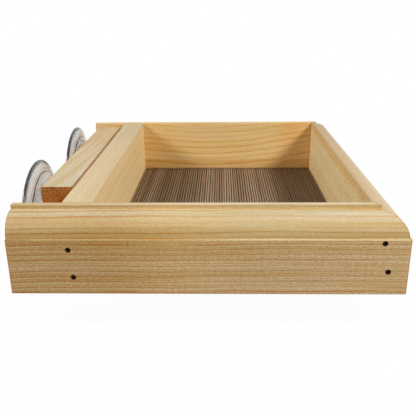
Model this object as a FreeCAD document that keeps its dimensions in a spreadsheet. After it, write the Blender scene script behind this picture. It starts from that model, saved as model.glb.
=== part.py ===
import FreeCAD
import Part
import math
import os
import re
import Sketcher

# Window bird feeder: a mitred pine tray that hangs on a window pane by two suction cups.
# The origin lies on the pane, midway between the cups. +X points away from the pane,
# +Y runs along it and +Z points up. All sizes are in millimetres.

# Driving dimensions, each set once
SIZES = {
    # Moulded rails: front, back and outer side of the tray
    "rail_length": 219.5,
    "tray_width": 259.0,
    "rail_height": 47.6,
    "rail_thickness": 19.0,
    "face_height": 32.6,
    "face_ledge": 1.4,
    "crown_radius": 12.7,
    "crown_tread": 0.4,
    "edge_ease": 0.6,
    "corner_round": 1.5,
    # Plain board on the window side, and the strip that carries the cups
    "board_thickness": 17.4,
    "strip_thickness": 19.0,
    "strip_length": 171.0,
    "strip_height": 47.6,
    "strip_proud": 1.0,
    "strip_recess": 8.1,
    # Suction cups, measured from the pane along their axis
    "cup_radius": 39.0,
    "cup_height": 13.1,
    "cup_spacing": 104.8,
    "cup_axis_height": 16.4,
    "seal_width": 1.0,
    "hollow_depth": 6.0,
    "lip_edge": 1.4,
    "ring_radius": 31.0,
    "ring_height": 3.6,
    "ring_step": 0.6,
    "dome_height": 9.0,
    "dome_curve": 45.0,
    "neck_radius": 8.0,
    "neck_blend": 2.5,
    "neck_socket": 8.0,
    "socket_clearance": 0.1,
    # Screws: two into the cups' necks, two from the strip into the board
    "screw_radius": 1.75,
    "screw_head_radius": 3.75,
    "screw_head_height": 2.4,
    "screw_sink": 0.5,
    "screw_tip": 3.0,
    "screw_clearance": 0.05,
    "cup_screw_bite": 8.5,
    "strip_screw_length": 32.0,
    "strip_screw_spread": 26.0,
    # Sunk nails of the frame
    "nail_length": 38.0,
    "nail_radius": 0.8,
    "nail_tip": 2.0,
    "nail_head_radius": 1.45,
    "nail_head_height": 1.5,
    "nail_sink": 1.8,
    "nail_clearance": 0.05,
    "board_nail_upper_height": 26.7,
    "board_nail_lower_height": 10.3,
    "board_nail_upper_shift": 1.9,
    "board_nail_lower_shift": 0.3,
    "corner_nail_upper_height": 30.7,
    "corner_nail_lower_height": 13.9,
    "corner_nail_upper_inset": 14.6,
    "corner_nail_lower_inset": 11.5,
    # Ledges under the floor, and their brads
    "ledge_height": 3.2,
    "ledge_width": 9.5,
    "brad_length": 16.0,
    "brad_radius": 0.6,
    "brad_tip": 1.5,
    "brad_inset": 25.0,
    "tip_gap": 0.3,
    "tip_flat": 0.1,
    # Floor screen, a stiff net that lifts out
    "floor_thickness": 1.6,
    "floor_gap": 1.0,
    "floor_seat_gap": 0.2,
    "net_border": 6.0,
    "net_hole": 8.0,
    "net_bar": 2.0,
}

# Places and lengths worked out from the sizes
PLACES = {
    "rail_start": "cup_height - strip_recess",
    "rail_end": "rail_start + rail_length",
    "board_face": "cup_height + strip_thickness",
    "board_inner": "board_face + board_thickness",
    "outer_inner": "rail_end - rail_thickness",
    "inner_length": "outer_inner - board_inner",
    "inner_width": "tray_width - 2 * rail_thickness",
    "half_width": "tray_width / 2",
    "half_inner": "inner_width / 2",
    "tray_bottom": "-cup_axis_height",
    "crown_end": "face_ledge + crown_radius",
    "crown_top": "face_height + crown_radius",
    "step_depth": "crown_end + crown_tread",
    "round_cut": "corner_round * (1 - 1 / sqrt(2))",
    "strip_bottom": "tray_bottom + rail_height + strip_proud - strip_height",
    "strip_middle": "strip_bottom + strip_height / 2",
    "cup_line": "-strip_bottom",
    "first_cup": "strip_length / 2 - cup_spacing / 2",
    "second_cup": "strip_length / 2 + cup_spacing / 2",
    "seal_radius": "cup_radius - seal_width",
    "hollow_curve": "(seal_radius ^ 2 + hollow_depth ^ 2) / (2 * hollow_depth)",
    "neck_end": "cup_height + neck_socket",
    "neck_root": "dome_height + neck_blend",
    "dome_inner": "neck_radius + neck_blend",
    "pilot_radius": "screw_radius + screw_clearance",
    "pilot_bottom": "neck_end - cup_screw_bite - tip_gap",
    "cup_screw_length": "strip_thickness - neck_socket - screw_sink + cup_screw_bite",
    "screw_recess": "screw_head_radius + screw_clearance",
    "screw_recess_depth": "screw_sink + screw_head_height",
    "strip_screw_reach": "screw_sink + strip_screw_length + tip_gap - strip_thickness",
    "nail_hole": "nail_radius + nail_clearance",
    "nail_recess": "nail_head_radius + nail_clearance",
    "nail_recess_depth": "nail_sink + nail_head_height",
    "nail_reach": "nail_sink + nail_length + tip_gap",
    "nail_bite": "nail_reach - rail_thickness",
    "board_nail_upper": "board_thickness / 2 - board_nail_upper_shift",
    "board_nail_lower": "board_thickness / 2 - board_nail_lower_shift",
    "brad_hole": "brad_radius + nail_clearance",
    "brad_bite": "brad_length - ledge_width + tip_gap",
    "brad_height": "ledge_height / 2",
    "cross_ledge": "inner_width - 2 * ledge_width",
}

# Ways a rail's moulded face can look: the place across the rail of a depth behind the face,
# and the turn of its outline
FACE_FIRST = ("%s", 1)
FACE_LAST = ("rail_thickness - (%s)", -1)

# Points closer together than this are one point
SAME_POINT = 1e-4

doc = FreeCAD.newDocument("WindowBirdFeeder")


def fill_sheet(name, entries):
    """Write one cell and one alias for each entry."""
    sheet = doc.addObject("Spreadsheet::Sheet", name)
    for row, (alias, content) in enumerate(entries, start=1):
        cell = "A%d" % row
        sheet.set(cell, content)
        sheet.setAlias(cell, alias)
    doc.recompute()
    return sheet


def with_sheets(formula, places_too=True):
    """Put the sheet's name before each size or place in a formula."""
    def full_name(match):
        word = match.group()
        if word in SIZES:
            return "Sizes." + word
        if places_too and word in PLACES:
            return "Places." + word
        return word
    return re.sub(r"[a-z][a-z_]*", full_name, formula)


fill_sheet("Sizes", [(alias, str(size)) for alias, size in SIZES.items()])
place_cells = [(alias, "=" + with_sheets(formula, False)) for alias, formula in PLACES.items()]
places = fill_sheet("Places", place_cells)


def value(formula):
    """Number that a formula of sizes and places comes to."""
    return float(places.evalExpression(with_sheets(formula)))


def bind(thing, **formulas):
    """Tie properties of an object to the sheets."""
    for name, formula in formulas.items():
        thing.setExpression(name, with_sheets(formula))


def put(thing, x="0", y="0", z="0"):
    """Tie an object's position to the sheets."""
    for axis, formula in (("x", x), ("y", y), ("z", z)):
        thing.setExpression("Placement.Base." + axis, with_sheets(formula))


def new_body(label, x="0", y="0", z="0"):
    """Empty body at its place in the feeder."""
    body = doc.addObject("PartDesign::Body", label)
    body.Label = label
    put(body, x, y, z)
    return body


def sketch_on(body, name, role, at="0"):
    """Sketch on one of the body's origin planes, moved along its axis."""
    sketch = body.newObject("Sketcher::SketchObject", name)
    plane = next(item for item in body.Origin.OriginFeatures if item.Role == role)
    sketch.AttachmentSupport = [(plane, "")]
    sketch.MapMode = "FlatFace"
    if at != "0":
        sign = "-" if role == "XZ_Plane" else ""
        sketch.setExpression("AttachmentOffset.Base.z", with_sheets("%s(%s)" % (sign, at)))
    return sketch


def hold(sketch, kind, formula, *geometry):
    """Dimension a sketch by a formula."""
    index = sketch.addConstraint(Sketcher.Constraint(kind, *geometry, value(formula)))
    sketch.setExpression("Constraints[%d]" % index, with_sheets(formula))


def pin_point(sketch, element, end, across, up):
    """Hold a point of the sketch at its two coordinates."""
    hold(sketch, "DistanceX", across, -1, 1, element, end)
    hold(sketch, "DistanceY", up, -1, 1, element, end)


def arc_between(start, end, radius, turn):
    """Arc under a half circle from start to end; turn is 1 for left, -1 for right."""
    chord = end - start
    rise = math.sqrt(max(radius ** 2 - (chord.Length / 2) ** 2, 0))
    left = FreeCAD.Vector(-chord.y, chord.x, 0).normalize()
    centre = (start + end) / 2 + left * rise * turn
    first, last = (start, end) if turn > 0 else (end, start)
    angles = [math.atan2(point.y - centre.y, point.x - centre.x) for point in (first, last)]
    circle = Part.Circle(centre, FreeCAD.Vector(0, 0, 1), radius)
    return Part.ArcOfCircle(circle, angles[0], angles[1])


def outline(body, name, role, corners):
    """Closed outline; a corner is (across, up), or (across, up, radius, turn) where an arc leaves it."""
    sketch = sketch_on(body, name, role)
    points = [FreeCAD.Vector(value(corner[0]), value(corner[1]), 0) for corner in corners]
    ends = []
    for index, corner in enumerate(corners):
        start = points[index]
        finish = points[(index + 1) % len(points)]
        if len(corner) == 2:
            sketch.addGeometry(Part.LineSegment(start, finish), False)
            ends.append((1, 2))
        else:
            sketch.addGeometry(arc_between(start, finish, value(corner[2]), corner[3]), False)
            ends.append((1, 2) if corner[3] > 0 else (2, 1))
    for index in range(len(corners)):
        following = (index + 1) % len(corners)
        sketch.addConstraint(
            Sketcher.Constraint("Coincident", index, ends[index][1], following, ends[following][0]))
    for index, corner in enumerate(corners):
        pin_point(sketch, index, ends[index][0], corner[0], corner[1])
        if len(corner) > 2:
            hold(sketch, "Radius", corner[2], index)
    return sketch


def pad(body, sketch, length, reverse=False):
    """Raise a sketch into a solid."""
    feature = body.newObject("PartDesign::Pad", "Pad")
    feature.Profile = sketch
    feature.Reversed = reverse
    bind(feature, Length=length)
    doc.recompute()


def pocket(body, sketch, depth=None, reverse=False):
    """Cut a sketch into the body, to a depth or right through, and see that it cut."""
    before = body.Shape.Volume
    feature = body.newObject("PartDesign::Pocket", "Pocket")
    feature.Profile = sketch
    feature.Reversed = reverse
    if depth is None:
        feature.Type = "ThroughAll"
    else:
        bind(feature, Length=depth)
    doc.recompute()
    if not body.Shape.Volume < before:
        raise RuntimeError("%s cuts nothing from %s" % (sketch.Label, body.Label))


def drill(body, name, toward, at, holes, depth=None):
    """Drill round holes (across, up, radius) along X or Y, starting from the plane at that place."""
    role = "YZ_Plane" if toward.endswith("X") else "XZ_Plane"
    sketch = sketch_on(body, name, role, at)
    upright = FreeCAD.Vector(0, 0, 1)
    for index, (across, up, radius) in enumerate(holes):
        centre = FreeCAD.Vector(value(across), value(up), 0)
        sketch.addGeometry(Part.Circle(centre, upright, value(radius)), False)
        pin_point(sketch, index, 3, across, up)
        hold(sketch, "Radius", radius, index)
    pocket(body, sketch, depth, toward in ("+X", "-Y"))


def ease(body, axis, lines):
    """Round off the straight edges that run along an axis through the given cross points."""
    others = [name for name in "xyz" if name != axis]
    wanted = [(value(first), value(second)) for first, second in lines]
    base = body.Tip
    names = []
    for number, edge in enumerate(base.Shape.Edges, start=1):
        ends = [vertex.Point for vertex in edge.Vertexes]
        for target in wanted:
            misses = [abs(getattr(end, name) - goal) for end in ends for name, goal in zip(others, target)]
            if max(misses) < SAME_POINT:
                names.append("Edge%d" % number)
    if len(names) != len(lines):
        raise RuntimeError("%s has %d edges to ease, not %d" % (body.Label, len(names), len(lines)))
    feature = body.newObject("PartDesign::Fillet", "Eased")
    feature.Base = (base, names)
    bind(feature, Radius="edge_ease")
    doc.recompute()


def block(body, length, width, height):
    """Plain board in the body's own corner."""
    corners = [("0", "0"), (length, "0"), (length, width), ("0", width)]
    pad(body, outline(body, "Plan", "XY_Plane", corners), height)


def rail_section(facing):
    """Section of the moulding, from the foot of its face round to the back."""
    across, turn = facing
    return [
        (across % "0", "0"),
        (across % "0", "face_height"),
        (across % "face_ledge", "face_height", "crown_radius", -turn),
        (across % "crown_end", "crown_top"),
        (across % "step_depth", "crown_top"),
        (across % "step_depth", "rail_height"),
        (across % "rail_thickness", "rail_height"),
        (across % "rail_thickness", "0"),
    ]


def nail_spots():
    """Along, up pairs of the four nails in a front or back rail, from its window end."""
    board = "strip_recess + strip_thickness"
    return [
        ("%s + board_nail_upper" % board, "board_nail_upper_height"),
        ("%s + board_nail_lower" % board, "board_nail_lower_height"),
        ("rail_length - corner_nail_upper_inset", "corner_nail_upper_height"),
        ("rail_length - corner_nail_lower_inset", "corner_nail_lower_height"),
    ]


def ledge_brads(length):
    """Places of the two brads along a ledge."""
    return ["brad_inset", "%s - brad_inset" % length]


def side_rail(label, facing, y):
    """Front or back rail: moulded, mitred at the outer end, with its nail holes."""
    across, turn = facing
    face = across % "0"
    inside = across % "rail_thickness"
    body = new_body(label, "rail_start", y, "tray_bottom")
    pad(body, outline(body, "Section", "YZ_Plane", rail_section(facing)), "rail_length")
    ease(body, "x", [(face, "0"), (inside, "0"), (inside, "rail_height")])
    mitre = [
        ("rail_length - 2 * rail_thickness", across % "2 * rail_thickness"),
        ("rail_length - round_cut", across % "round_cut", "corner_round", -turn),
        ("rail_length - corner_round", face),
        ("rail_length + rail_thickness", across % "-rail_thickness"),
        ("rail_length + rail_thickness", across % "2 * rail_thickness"),
    ]
    pocket(body, outline(body, "Mitre", "XY_Plane", mitre), None, True)
    inward = "+Y" if turn > 0 else "-Y"
    spots = nail_spots()
    heads = [(along, up, "nail_recess") for along, up in spots]
    shanks = [(along, up, "nail_hole") for along, up in spots]
    drill(body, "NailHeads", inward, face, heads, "nail_recess_depth")
    drill(body, "NailShanks", inward, face, shanks)
    brads = ["strip_recess + strip_thickness + board_thickness + " + along
             for along in ledge_brads("inner_length")]
    drill(body, "Brads", inward, across % "rail_thickness - brad_bite",
          [(along, "brad_height", "brad_hole") for along in brads])
    return body


def outer_rail():
    """Outer rail: the same moulding, mitred at both ends."""
    body = new_body("outer_rail", "outer_inner", "-half_width", "tray_bottom")
    pad(body, outline(body, "Section", "XZ_Plane", rail_section(FACE_LAST)), "tray_width", True)
    ease(body, "y", [("rail_thickness", "0"), ("0", "0"), ("0", "rail_height")])
    for name, along, turn in (("FrontMitre", "%s", 1), ("BackMitre", "tray_width - (%s)", -1)):
        mitre = [
            ("-rail_thickness", along % "2 * rail_thickness"),
            ("rail_thickness - round_cut", along % "round_cut", "corner_round", turn),
            ("rail_thickness", along % "corner_round"),
            ("2 * rail_thickness", along % "-rail_thickness"),
            ("-rail_thickness", along % "-rail_thickness"),
        ]
        pocket(body, outline(body, name, "XY_Plane", mitre), None, True)
    nails = [
        ("rail_thickness - corner_nail_upper_inset", "corner_nail_upper_height", "nail_hole"),
        ("rail_thickness - corner_nail_lower_inset", "corner_nail_lower_height", "nail_hole"),
    ]
    drill(body, "FrontNails", "-Y", "nail_reach", nails)
    drill(body, "BackNails", "+Y", "tray_width - nail_reach", nails)
    brads = ["rail_thickness + ledge_width + " + along for along in ledge_brads("cross_ledge")]
    drill(body, "Brads", "-X", "brad_bite", [(along, "brad_height", "brad_hole") for along in brads])
    return body


def window_board():
    """Plain board between the front and back rails, on the window side."""
    body = new_body("window_board", "board_face", "-half_inner", "tray_bottom")
    block(body, "board_thickness", "inner_width", "rail_height")
    ease(body, "y", [("0", "rail_height"), ("board_thickness", "rail_height"),
                     ("0", "0"), ("board_thickness", "0")])
    nails = [
        ("board_nail_upper", "board_nail_upper_height", "nail_hole"),
        ("board_nail_lower", "board_nail_lower_height", "nail_hole"),
    ]
    drill(body, "FrontNails", "-Y", "nail_bite", nails)
    drill(body, "BackNails", "+Y", "inner_width - nail_bite", nails)
    screws = [("inner_width / 2", "strip_middle - tray_bottom + %s * strip_screw_spread / 2" % side,
               "pilot_radius") for side in ("1", "-1")]
    drill(body, "StripScrews", "+X", "0", screws, "strip_screw_reach")
    brads = ["ledge_width + " + along for along in ledge_brads("cross_ledge")]
    drill(body, "Brads", "+X", "board_thickness - brad_bite",
          [(along, "brad_height", "brad_hole") for along in brads])
    return body


def mounting_strip():
    """Strip on the board's window side, with sockets for the cups' necks."""
    body = new_body("mounting_strip", "cup_height", "-strip_length / 2", "strip_bottom")
    block(body, "strip_thickness", "strip_length", "strip_height")
    ease(body, "y", [("0", "strip_height"), ("strip_thickness", "strip_height"),
                     ("0", "0"), ("strip_thickness", "0")])
    cups = [(place, "cup_line") for place in ("first_cup", "second_cup")]
    screws = [("strip_length / 2", "strip_height / 2 + %s * strip_screw_spread / 2" % side)
              for side in ("1", "-1")]
    drill(body, "Sockets", "+X", "0",
          [(along, up, "neck_radius + socket_clearance") for along, up in cups], "neck_socket")
    drill(body, "ScrewShanks", "+X", "0", [(along, up, "pilot_radius") for along, up in cups + screws])
    drill(body, "StripScrewHeads", "+X", "0",
          [(along, up, "screw_recess") for along, up in screws], "screw_recess_depth")
    drill(body, "CupScrewHeads", "-X", "strip_thickness",
          [(along, up, "screw_recess") for along, up in cups], "screw_recess_depth")
    return body


def suction_cup(label, y):
    """Clear cup: sealing lip, ring, dome and a neck with a blind pilot hole."""
    body = new_body(label, "0", y, "0")
    half_section = [
        ("pilot_bottom", "0"),
        ("pilot_bottom", "pilot_radius"),
        ("neck_end", "pilot_radius"),
        ("neck_end", "neck_radius"),
        ("neck_root", "neck_radius", "neck_blend", -1),
        ("dome_height", "dome_inner", "dome_curve", 1),
        ("ring_height + ring_step", "ring_radius"),
        ("ring_height", "ring_radius"),
        ("lip_edge", "cup_radius"),
        ("0", "cup_radius"),
        ("0", "seal_radius", "hollow_curve", -1),
        ("hollow_depth", "0"),
    ]
    sketch = outline(body, "HalfSection", "XZ_Plane", half_section)
    feature = body.newObject("PartDesign::Revolution", "Turned")
    feature.Profile = sketch
    feature.ReferenceAxis = (sketch, ["H_Axis"])
    feature.Angle = 360
    doc.recompute()
    return body


def ledge(label, x, y, length, width, along_x):
    """Thin strip under the floor's edge, with its two brad holes."""
    body = new_body(label, x, y, "tray_bottom")
    block(body, length, width, "ledge_height")
    places_along = ledge_brads(length if along_x else width)
    holes = [(along, "brad_height", "brad_hole") for along in places_along]
    drill(body, "Brads", "+Y" if along_x else "+X", "0", holes)
    return body


def floor_screen():
    """Stiff net with square gaps that lies on the ledges, free to lift out."""
    length = value("inner_length - 2 * floor_gap")
    width = value("inner_width - 2 * floor_gap")
    hole = value("net_hole")
    bar = value("net_bar")
    border = value("net_border")

    def rectangle(x, y, across, deep):
        corners = [(x, y), (x + across, y), (x + across, y + deep), (x, y + deep), (x, y)]
        return Part.makePolygon([FreeCAD.Vector(cx, cy, 0) for cx, cy in corners])

    def row_starts(extent):
        count = int((extent - 2 * border + bar) // (hole + bar))
        first = (extent - count * (hole + bar) + bar) / 2
        return [first + index * (hole + bar) for index in range(count)]

    gaps = [rectangle(x, y, hole, hole) for x in row_starts(length) for y in row_starts(width)]
    face = Part.makeFace([rectangle(0, 0, length, width)] + gaps, "Part::FaceMakerBullseye")
    screen = doc.addObject("Part::Feature", "floor_screen")
    screen.Label = "floor_screen"
    screen.Shape = face.extrude(FreeCAD.Vector(0, 0, value("floor_thickness")))
    put(screen, "board_inner + floor_gap", "floor_gap - half_inner",
        "tray_bottom + ledge_height + floor_seat_gap")
    return screen


def fastener(name, length, radius, tip, direction, spot, head=None):
    """Pointed pin from its head's top at the spot; head is a (radius, height) pair."""
    shank = doc.addObject("Part::Cylinder", name + "_shank")
    bind(shank, Radius=radius, Height="%s - %s" % (length, tip))
    point = doc.addObject("Part::Cone", name + "_point")
    bind(point, Radius1=radius, Radius2="tip_flat", Height=tip)
    put(point, z="%s - %s" % (length, tip))
    pieces = [shank, point]
    if head:
        cap = doc.addObject("Part::Cylinder", name + "_head")
        bind(cap, Radius=head[0], Height=head[1])
        pieces.append(cap)
    whole = doc.addObject("Part::MultiFuse", name)
    whole.Shapes = pieces
    whole.Refine = True
    whole.Placement = FreeCAD.Placement(
        FreeCAD.Vector(), FreeCAD.Rotation(FreeCAD.Vector(0, 0, 1), FreeCAD.Vector(*direction)))
    put(whole, *spot)
    return whole


def fastener_group(label, spots, direction, length, radius, tip, head=None):
    """Several like fasteners in one piece of the list."""
    group = doc.addObject("Part::Compound", label)
    group.Label = label
    group.Links = [
        fastener("%s_%d" % (label, number), length, radius, tip, direction, spot, head)
        for number, spot in enumerate(spots, start=1)
    ]
    return group


def frame_nails(side, direction, y):
    """The board nails and the corner nails of a front or back rail."""
    spots = [("rail_start + " + along, y, "tray_bottom + " + up) for along, up in nail_spots()]
    head = ("nail_head_radius", "nail_head_height")
    kinds = (("board", spots[:2]), ("corner", spots[2:]))
    return [
        fastener_group("%s_%s_nails" % (side, kind), pair, direction,
                       "nail_length", "nail_radius", "nail_tip", head)
        for kind, pair in kinds
    ]


def brad_group(label, spots, direction):
    """The two brads of a ledge."""
    return fastener_group(label, spots, direction, "brad_length", "brad_radius", "brad_tip")


def screw_group(label, spots, direction, length):
    """Two screws with their heads sunk in the strip."""
    head = ("screw_head_radius", "screw_head_height")
    return fastener_group(label, spots, direction, length, "screw_radius", "screw_tip", head)


def frame_pieces():
    """Rails, board and strip."""
    return [
        side_rail("front_rail", FACE_FIRST, "-half_width"),
        side_rail("back_rail", FACE_LAST, "half_inner"),
        outer_rail(),
        window_board(),
        mounting_strip(),
    ]


def floor_pieces():
    """Floor screen, the four ledges and their brads."""
    ledge_line = "tray_bottom + brad_height"
    lengthwise = ["board_inner + " + along for along in ledge_brads("inner_length")]
    crosswise = ["ledge_width - half_inner + " + along for along in ledge_brads("cross_ledge")]
    return [
        floor_screen(),
        ledge("front_ledge", "board_inner", "-half_inner", "inner_length", "ledge_width", True),
        ledge("back_ledge", "board_inner", "half_inner - ledge_width", "inner_length", "ledge_width", True),
        ledge("window_ledge", "board_inner", "ledge_width - half_inner",
              "ledge_width", "cross_ledge", False),
        ledge("outer_ledge", "outer_inner - ledge_width", "ledge_width - half_inner",
              "ledge_width", "cross_ledge", False),
        brad_group("front_ledge_brads",
                   [(x, "ledge_width - half_inner", ledge_line) for x in lengthwise], (0, -1, 0)),
        brad_group("back_ledge_brads",
                   [(x, "half_inner - ledge_width", ledge_line) for x in lengthwise], (0, 1, 0)),
        brad_group("window_ledge_brads",
                   [("board_inner + ledge_width", y, ledge_line) for y in crosswise], (-1, 0, 0)),
        brad_group("outer_ledge_brads",
                   [("outer_inner - ledge_width", y, ledge_line) for y in crosswise], (1, 0, 0)),
    ]


def cup_pieces():
    """Suction cups and the screws of the strip."""
    sides = {"front": "-cup_spacing / 2", "back": "cup_spacing / 2"}
    cups = [suction_cup("suction_cup_" + side, y) for side, y in sides.items()]
    cup_screws = screw_group(
        "cup_screws", [("board_face - screw_sink", y, "0") for y in sides.values()],
        (-1, 0, 0), "cup_screw_length")
    strip_screws = screw_group(
        "strip_screws",
        [("cup_height + screw_sink", "0", "strip_middle + %s * strip_screw_spread / 2" % side)
         for side in ("1", "-1")],
        (1, 0, 0), "strip_screw_length")
    return cups + [cup_screws, strip_screws]


def check_document(pieces):
    """Stop if anything in the document failed or a piece has no sound shape."""
    doc.recompute()
    for item in doc.Objects:
        if {"Invalid", "Error"} & set(item.State):
            raise RuntimeError("%s failed: %s" % (item.Label, item.State))
    for piece in pieces:
        if piece.Shape.isNull() or not piece.Shape.isValid() or not piece.Shape.Solids:
            raise RuntimeError("%s has no sound shape" % piece.Label)


def write_parts(pieces):
    """One file for each piece, named after it."""
    os.makedirs("parts", exist_ok=True)
    for piece in pieces:
        piece.Shape.exportStep("parts/%s.step" % piece.Label)
        print("%-20s %2d solids %12.1f mm3" % (piece.Label, len(piece.Shape.Solids), piece.Shape.Volume))


front_nails = frame_nails("front", (0, 1, 0), "nail_sink - half_width")
back_nails = frame_nails("back", (0, -1, 0), "half_width - nail_sink")
all_pieces = frame_pieces() + floor_pieces() + cup_pieces() + front_nails + back_nails
check_document(all_pieces)
write_parts(all_pieces)
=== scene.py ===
"""Window bird feeder: a moulded pine tray with a lift-out screen floor, held by two clear suction cups.

Lengths are in millimetres, except in the studio, which is in metres.
"""
from __future__ import annotations

import logging
import math
import random
from dataclasses import dataclass
from enum import Enum
from typing import Any, Optional, Sequence, Union

import bmesh
import bpy
from mathutils import Matrix, Vector

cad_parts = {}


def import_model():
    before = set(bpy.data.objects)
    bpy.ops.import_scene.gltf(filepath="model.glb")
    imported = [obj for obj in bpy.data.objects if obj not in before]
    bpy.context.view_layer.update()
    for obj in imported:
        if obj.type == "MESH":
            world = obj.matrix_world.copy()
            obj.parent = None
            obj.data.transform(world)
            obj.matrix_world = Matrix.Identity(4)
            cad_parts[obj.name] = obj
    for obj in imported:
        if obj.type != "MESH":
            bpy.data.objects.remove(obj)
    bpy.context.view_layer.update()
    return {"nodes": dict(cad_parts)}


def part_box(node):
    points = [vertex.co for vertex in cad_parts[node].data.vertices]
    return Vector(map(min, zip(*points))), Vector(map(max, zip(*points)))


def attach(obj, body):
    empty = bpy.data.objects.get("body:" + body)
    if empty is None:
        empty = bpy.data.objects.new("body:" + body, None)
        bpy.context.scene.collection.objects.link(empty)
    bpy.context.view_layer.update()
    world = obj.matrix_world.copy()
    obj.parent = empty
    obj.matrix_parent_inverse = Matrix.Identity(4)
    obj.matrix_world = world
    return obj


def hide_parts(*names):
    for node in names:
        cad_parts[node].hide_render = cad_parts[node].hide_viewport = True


LOG = logging.getLogger("feeder")
MM = 0.001
TOUCH_MM = 1e-4
NOISE_ROUGHNESS = 0.55
WHITE = (1.0, 1.0, 1.0, 1.0)

# Places in the part's frame.
CUP_OFFSET = 52.4
STRIP_SCREW_SPOTS = ((13.6, 0.0, 21.4), (13.6, 0.0, -4.6))
CUP_SCREW_SPOTS = ((31.6, -CUP_OFFSET, 0.0), (31.6, CUP_OFFSET, 0.0))
STRIP_SCREW_LENGTH = 32.0
CUP_SCREW_LENGTH = 19.0
NAIL_SPOTS = ((38.9, 10.3), (40.5, -6.1), (209.9, 14.3), (213.0, -2.5))

Colour = tuple[float, float, float]
Point = tuple[float, float, float]
Value = Union["Sock", float, Sequence[float]]
Places = tuple["Sock", "Sock", "Sock", "Sock"]


class Grain(Enum):
    """Way that the fibres of a length of wood run."""

    ALONG_X = "x"
    ALONG_Y = "y"


class Way(Enum):
    """Direction in a length of wood, as a place in (along, across, up, square to the mitres)."""

    ALONG = 0
    ACROSS = 1
    UP = 2
    MITRE = 3


class Sock:
    """A shader socket that takes part in arithmetic, each step of which adds a Math node."""

    def __init__(self, graph: Graph, socket: bpy.types.NodeSocket) -> None:
        """Keep the socket and the graph that it belongs to."""
        self.graph = graph
        self.socket = socket

    def _math(self, operation: str, *values: Value) -> Sock:
        """Add one Math node over the values."""
        return self.graph.node("ShaderNodeMath", {"operation": operation}, dict(enumerate(values)))

    def __add__(self, other: Value) -> Sock:
        """Sum."""
        return self._math("ADD", self, other)

    def __radd__(self, other: Value) -> Sock:
        """Sum, with the socket on the right."""
        return self._math("ADD", other, self)

    def __sub__(self, other: Value) -> Sock:
        """Difference."""
        return self._math("SUBTRACT", self, other)

    def __rsub__(self, other: Value) -> Sock:
        """Difference, with the socket on the right."""
        return self._math("SUBTRACT", other, self)

    def __mul__(self, other: Value) -> Sock:
        """Product."""
        return self._math("MULTIPLY", self, other)

    def __rmul__(self, other: Value) -> Sock:
        """Product, with the socket on the right."""
        return self._math("MULTIPLY", other, self)

    def __truediv__(self, other: Value) -> Sock:
        """Quotient."""
        return self._math("DIVIDE", self, other)

    def __rtruediv__(self, other: Value) -> Sock:
        """Quotient, with the socket below."""
        return self._math("DIVIDE", other, self)

    def __pow__(self, other: Value) -> Sock:
        """Power."""
        return self._math("POWER", self, other)

    def __rpow__(self, other: Value) -> Sock:
        """Power, with the socket as the exponent."""
        return self._math("POWER", other, self)

    def __abs__(self) -> Sock:
        """Size without the sign."""
        return self._math("ABSOLUTE", self)

    def least(self, other: Value) -> Sock:
        """Smaller of two values."""
        return self._math("MINIMUM", self, other)

    def floor(self) -> Sock:
        """Whole number below."""
        return self._math("FLOOR", self)

    def fraction(self) -> Sock:
        """Part after the whole number."""
        return self._math("FRACT", self)

    def rise(self, low: float, high: float) -> Sock:
        """Smooth step from 0 at low to 1 at high.

        Args:
            low: Value at which the step starts.
            high: Value at which it is complete; below low for a falling step.

        Returns:
            The step as a socket.
        """
        ends = {"Value": self, "From Min": low, "From Max": high}
        return self.graph.node("ShaderNodeMapRange", {"interpolation_type": "SMOOTHSTEP"}, ends)


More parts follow.
